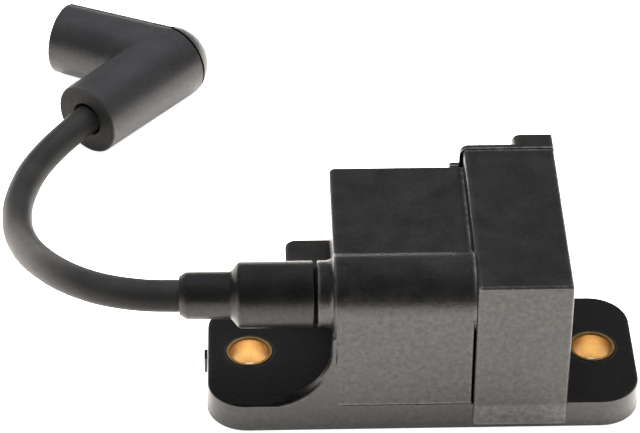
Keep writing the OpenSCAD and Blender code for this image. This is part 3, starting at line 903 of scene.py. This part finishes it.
def makeFinish(name, look):
    # blotched base colour, then turns, rubbed edges (on the brass rims partly a painted highlight), dust
    # and specks over it; grain and turns lift the surface, soil varies its gloss
    material = bpy.data.materials.new(name)
    material.use_nodes = True
    t = material.node_tree
    shader = t.nodes["Principled BSDF"]
    shader.inputs["Metallic"].default_value = look.get("metal", 0.0)
    if "coat" in look:
        for label, value in zip(("Coat Weight", "Coat Roughness"), look["coat"]):
            shader.inputs[label].default_value = value
    grain = placeGroup(t, grainGroup, Fine=look["fine"], Blotch=look["blotch"])
    colour = mixColour(t, grain.outputs["Blotches"], look["dark"], look["light"])
    gloss, soil = look.get("gloss", 0.5), look.get("soil", 0.2)
    mirror = rangeOf(t, grain.outputs["Soil"], 0.0, 1.0, gloss * (1 - soil), gloss * (1 + soil))
    wire(t, mirror, shader.inputs["Specular IOR Level"])
    height = grain.outputs["Height"]
    if "turns" in look:
        ridges = placeGroup(t, turnsGroup, Direction=look["turns"])
        colour = mixColour(t, ridges.outputs["Height"], look["between"], colour)
        height = mathNode(t, "ADD", mathNode(t, "MULTIPLY", ridges.outputs["Height"], 3.0), height)
    wearAndSheen = placeGroup(t, wearAndSheenGroup, Reach=look.get("wearAndSheenReach", 0.0009))
    rubbedAndSheen = mathNode(t, "MULTIPLY", wearAndSheen.outputs["Mask"], look["wearAndSheen"])
    colour = mixColour(t, rubbedAndSheen, colour, look["wornAndSheen"])
    dust = placeGroup(t, dustGroup, Amount=look["dust"])
    colour = mixColour(t, dust.outputs["Mask"], colour, dustColour)
    scale, share = look.get("speckScale", 900.0), look.get("speckShare", 0.12)
    speck = placeGroup(t, speckGroup, Scale=scale, Size=0.22, Share=share)
    dots = mathNode(t, "MULTIPLY", speck.outputs["Mask"], look["specks"])
    colour = mixColour(t, dots, colour, look.get("speckColour", (0.25, 0.24, 0.23)))
    wire(t, colour, shader.inputs["Base Color"])
    low, high = look["rough"]
    halves = (mathNode(t, "MULTIPLY", grain.outputs[label], 0.5) for label in ("Height", "Blotches"))
    spread = rangeOf(t, mathNode(t, "ADD", *halves), 0.1, 0.9, low, high)
    soft = mathNode(t, "MULTIPLY_ADD", dust.outputs["Mask"], 0.3, spread)
    wire(t, mathNode(t, "MULTIPLY_ADD", rubbedAndSheen, -0.08, soft), shader.inputs["Roughness"])
    bump = t.nodes.new("ShaderNodeBump")
    bump.inputs["Strength"].default_value = look["bump"]
    bump.inputs["Distance"].default_value = look.get("lift", 0.00012)
    wire(t, height, bump.inputs["Height"])
    wire(t, bump.outputs["Normal"], shader.inputs["Normal"])
    return material


def dress(pieces, material):
    for piece in pieces:
        piece.data.materials.clear()
        piece.data.materials.append(material)


def dressPart(piece, material, chosen):  # another finish on the faces a test of middles and normals picks
    piece.data.materials.append(material)
    faces = piece.data.polygons
    middles, normals = np.zeros(len(faces) * 3, np.float32), np.zeros(len(faces) * 3, np.float32)
    faces.foreach_get("center", middles)
    faces.foreach_get("normal", normals)
    picked = chosen(middles.reshape(-1, 3) / mm, normals.reshape(-1, 3))
    slots = np.zeros(len(faces), np.int32)
    faces.foreach_get("material_index", slots)
    slots[picked] = len(piece.data.materials) - 1
    faces.foreach_set("material_index", slots)


def inNeck(middles, normals):  # the narrow neck between the tower's collar and its sleeve
    tower, barrel = caseShape["tower"], caseShape["barrel"]
    along = caseShape["left"] - middles[:, 0]
    off = np.hypot(middles[:, 1] - barrel["y"], middles[:, 2] - barrel["z"])
    return (along > tower["collarEnd"] - 0.01) & (off < tower["collar"] - 0.3)


def inSeams(middles, normals):  # the seam round the boot's arm and the moulding line along its nozzle
    arm, line, away = bootShape["arm"], bootShape["partingLine"], middles - knee
    along = away @ armWay
    off = np.linalg.norm(away - along[:, None] * armWay, axis=1)
    ring = (along > arm["seam"] - arm["seamWide"] - 0.01) & (along < arm["seam"] + 0.01)
    aside = np.abs(away @ np.cross(partingOut, nozzleWay))
    groove = (aside < line["wide"] / 2 + 0.02) & (away @ partingOut > 8) & (away @ nozzleWay > 1)
    return (ring & (off > 7) & (off < arm["root"] - 0.05)) | groove


mouldedLook = {
    "dark": grey(0.0028), "light": grey(0.0060, 0.03), "wornAndSheen": grey(0.09, 0.02), "rough": (0.26, 0.44),
    "fine": 1900.0, "blotch": 170.0, "soil": 0.32, "wearAndSheen": 0.75, "dust": 0.012, "specks": 0.10,
    "speckScale": 2600.0, "speckShare": 0.05, "bump": 0.5,
}
plateLook = {
    **mouldedLook, "dark": grey(0.0012), "light": grey(0.0022), "rough": (0.26, 0.38), "dust": 0.003,
    "specks": 0.04, "soil": 0.2, "wearAndSheen": 0.3, "bump": 0.35,
}
caseLook = {**mouldedLook, "dark": grey(0.0028), "light": grey(0.0064), "dust": 0.013}
rubberLook = {
    "dark": grey(0.0018), "light": grey(0.0042), "wornAndSheen": grey(0.02), "rough": (0.30, 0.44), "gloss": 0.29,
    "fine": 2400.0, "blotch": 90.0, "soil": 0.25, "wearAndSheen": 0.35, "dust": 0.02, "specks": 0.08,
    "speckScale": 2200.0, "speckShare": 0.03, "bump": 0.3,
}
bootLook = {
    **rubberLook, "dark": (0.0106, 0.0105, 0.0116), "light": (0.0148, 0.0147, 0.0160),
    "rough": (0.34, 0.46), "gloss": 0.32,
}
jacketLook = {
    **rubberLook, "dark": grey(0.0080), "light": grey(0.0118), "rough": (0.40, 0.54), "bump": 0.16,
    "gloss": 0.09,
}
# darker and rougher rubber for the face at the end of the boot's arm, round the lead hole
endFaceLook = {
    **bootLook, "dark": grey(0.004), "light": grey(0.007), "rough": (0.66, 0.8), "bump": 0.4, "gloss": 0.22,
}
# painted shade: a dark dull finish for recesses where shade falls, the neck gap behind the sleeve and the
# boot's seams
shadeLook = {
    **caseLook, "dark": grey(0.0015), "light": grey(0.003), "rough": (0.7, 0.85), "gloss": 0.08,
    "dust": 0.0, "wearAndSheen": 0.0,
}
# the bushings' rims are lightened by the strong, light edge colour: partly real rubbed brass, partly a
# painted highlight
brassLook = {
    "dark": (0.34, 0.19, 0.06), "light": (0.48, 0.28, 0.09), "wornAndSheen": (0.92, 0.70, 0.42),
    "rough": (0.26, 0.44), "metal": 0.9, "wearAndSheenReach": 0.0003, "fine": 4200.0, "blotch": 420.0, "wearAndSheen": 0.9,
    "dust": 0.0, "specks": 0.25, "speckColour": (0.16, 0.09, 0.04), "bump": 0.2, "lift": 0.00006,
}
steelLook = {
    "dark": grey(0.42, 0.03), "light": grey(0.6, 0.03), "wornAndSheen": grey(0.8), "rough": (0.18, 0.34),
    "metal": 1.0, "wearAndSheenReach": 0.0003, "fine": 4800.0, "blotch": 300.0, "wearAndSheen": 0.4, "dust": 0.0,
    "specks": 0.2, "speckColour": grey(0.15), "bump": 0.12, "lift": 0.00005,
}
dress([plate], makeFinish("mouldedBase", plateLook))
dress([case], makeFinish("mouldedCase", caseLook))
dress([housing, cover], makeFinish("mouldedHousing", mouldedLook))
dress([sleeve], makeFinish("sleeveRubber", rubberLook))
dress([boot], makeFinish("bootRubber", bootLook))
dress([lead], makeFinish("leadJacket", jacketLook))
# the face at the end of the boot's arm, round the lead hole, gets the darker, rougher rubber
dressPart(boot, makeFinish("darkEndFace", endFaceLook), lambda middles, normals: normals @ armWay > 0.995)
# painted shade in the neck gap and in the boot's seam ring and parting groove
shade = makeFinish("deepShade", shadeLook)
dressPart(boot, shade, inSeams)
dressPart(case, shade, inNeck)
dress(bushings, makeFinish("bushingBrass", brassLook))
plugMetal = [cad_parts[node] for node in ("plug_terminal", "terminal_spring")]
dress([pins, *plugMetal], makeFinish("tinnedSteel", steelLook))
dress([seal], makeFinish("sealRubber", {
    **rubberLook, "dark": (0.30, 0.075, 0.03), "light": (0.42, 0.12, 0.05), "wornAndSheen": (0.5, 0.2, 0.1),
    "rough": (0.4, 0.55),
}))
dress([resin], makeFinish("pottingResin", {
    **mouldedLook, "dark": grey(0.010), "light": grey(0.016, 0.05), "wornAndSheen": grey(0.03),
    "rough": (0.16, 0.3), "dust": 0.0, "coat": (0.4, 0.12), "bump": 0.08, "blotch": 45.0, "fine": 900.0,
}))

copperLook = {
    **brassLook, "dark": (0.42, 0.13, 0.05), "light": (0.58, 0.22, 0.09), "between": (0.09, 0.025, 0.01),
    "wornAndSheen": (0.7, 0.35, 0.18), "rough": (0.24, 0.36), "metal": 0.7, "bump": 0.6, "lift": 0.0001,
}
nylonLook = {
    **mouldedLook, "dark": (0.50, 0.47, 0.38), "light": (0.60, 0.57, 0.47), "wornAndSheen": (0.72, 0.69, 0.6),
    "rough": (0.35, 0.5), "bump": 0.15, "specks": 0.15, "speckColour": (0.2, 0.18, 0.14),
}
coreLook = {
    **steelLook, "between": grey(0.04), "rough": (0.4, 0.55), "turns": (7000.0, 0.0, 0.0), "bump": 0.4,
}
insideLooks = {
    "primary_winding": {**copperLook, "turns": (0.0, 5200.0, 0.0)},
    "secondary_winding": {**copperLook, "turns": (0.0, 15000.0, 0.0)},
    "ht_link": copperLook,
    "core_leg": {**coreLook, "dark": grey(0.13), "light": grey(0.2)},
    "core_yoke": {**coreLook, "dark": grey(0.12), "light": grey(0.18)},
    "primary_bobbin": nylonLook,
    "secondary_bobbin": nylonLook,
    "ht_terminal": brassLook,
    "lead_crimp": {**brassLook, "rough": (0.28, 0.44)},
    "circuit_board": {
        **nylonLook, "dark": (0.02, 0.10, 0.035), "light": (0.035, 0.15, 0.05), "wornAndSheen": (0.3, 0.28, 0.15),
        "fine": 1500.0, "turns": (0.0, 2400.0, 2400.0), "between": (0.015, 0.07, 0.025),
        "rough": (0.25, 0.4),
    },
    "storage_capacitor": {
        **mouldedLook, "dark": (0.20, 0.035, 0.02), "light": (0.27, 0.05, 0.03), "rough": (0.25, 0.4),
    },
    "thyristor": {**mouldedLook, "dark": grey(0.018), "light": grey(0.03), "rough": (0.35, 0.5)},
    "diodes": {**mouldedLook, "dark": grey(0.012), "light": grey(0.02), "rough": (0.25, 0.4)},
    "pin_header": {**mouldedLook, "dark": grey(0.015), "light": grey(0.024)},
    "resistors": {
        **nylonLook, "dark": (0.45, 0.30, 0.14), "light": (0.56, 0.4, 0.2), "rough": (0.3, 0.45),
    },
    "ceramic_capacitors": {
        **nylonLook, "dark": (0.48, 0.22, 0.05), "light": (0.6, 0.3, 0.08), "rough": (0.25, 0.4),
    },
    "link_leads": {
        **rubberLook, "dark": (0.25, 0.02, 0.015), "light": (0.36, 0.04, 0.03), "rough": (0.35, 0.5),
    },
}
for node, look in insideLooks.items():
    dress([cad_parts[node]], makeFinish("finish_" + node, look))
print("finishes made")


# floor, light and surroundings

stageSettings = {
    "floor": 3.0,
    "lines": 61,
    "flatTo": 1.2,
    "curl": 0.15,
    "floorColour": (0.95, 0.88, 0.81),
    "floorGlow": 0.97,
    "fades": (0.35, 1.1),
    "farShare": 0.22,
    "surround": 0.03,
    "lamps": [
        {"name": "topPanel", "place": (-0.05, 0.42, 1.35), "aim": (-0.03, 0.02, 0), "size": (1.4, 1.1),
         "watts": 100, "mirrored": False},
        {"name": "backStrip", "place": (-0.05, 1.3, 0.98), "aim": (-0.03, 0, 0.03), "size": (1.3, 0.5),
         "watts": 0.5, "mirrored": True},
    ],
}


def makeFloor(s):
    # a sheet that lies flat and curls up gently far away: height = curl * (distance beyond flatTo)^2
    along = np.linspace(-s["floor"], s["floor"], s["lines"])
    x, y = np.meshgrid(along, along, indexing="ij")
    rise = s["curl"] * np.maximum(np.hypot(x, y) - s["flatTo"], 0) ** 2
    points = np.stack([x, y, rise], -1).reshape(-1, 3) / mm
    floor = putMesh("floor", points, gridFaces(s["lines"], s["lines"], joinCols=False))
    floor.data.shade_smooth()
    material = bpy.data.materials.new("paper")
    material.use_nodes = True
    t = material.node_tree
    shader = t.nodes["Principled BSDF"]
    shader.inputs["Specular IOR Level"].default_value = 0.2
    shader.inputs["Emission Color"].default_value = (1, 1, 1, 1)
    place = t.nodes.new("ShaderNodeTexCoord").outputs["Object"]
    away = t.nodes.new("ShaderNodeVectorMath")
    away.operation = "LENGTH"
    wire(t, place, away.inputs[0])
    share = rangeOf(t, away.outputs["Value"], *s["fades"], 1.0, s["farShare"])
    wire(t, mathNode(t, "MULTIPLY", share, s["floorGlow"]), shader.inputs["Emission Strength"])
    tone = noiseAt(t, place, 60.0)
    c = s["floorColour"]
    paper = mixColour(t, tone, tuple(v * 0.985 for v in c), c)
    wire(t, mixColour(t, share, (0.0, 0.0, 0.0), paper), shader.inputs["Base Color"])
    wire(t, rangeOf(t, tone, 0.3, 0.7, 0.75, 0.9), shader.inputs["Roughness"])
    floor.data.materials.append(material)


def makeLamps(s):
    for lamp in s["lamps"]:
        data = bpy.data.lights.new(lamp["name"], "AREA")
        data.shape, data.energy = "RECTANGLE", lamp["watts"]
        data.size, data.size_y = lamp["size"]
        o = bpy.data.objects.new(lamp["name"], data)
        o.location, o.visible_glossy = lamp["place"], lamp["mirrored"]
        aim = Vector(lamp["aim"]) - Vector(lamp["place"])
        o.rotation_euler = aim.to_track_quat("-Z", "Y").to_euler()
        bpy.context.scene.collection.objects.link(o)
    world = bpy.data.worlds.new("surround")
    world.use_nodes = True
    sky = world.node_tree.nodes["Background"]
    sky.inputs["Color"].default_value, sky.inputs["Strength"].default_value = (1, 1, 1, 1), s["surround"]
    bpy.context.scene.world = world


makeFloor(stageSettings)
makeLamps(stageSettings)
bpy.context.scene.view_settings.view_transform = "Standard"
print("stage made")
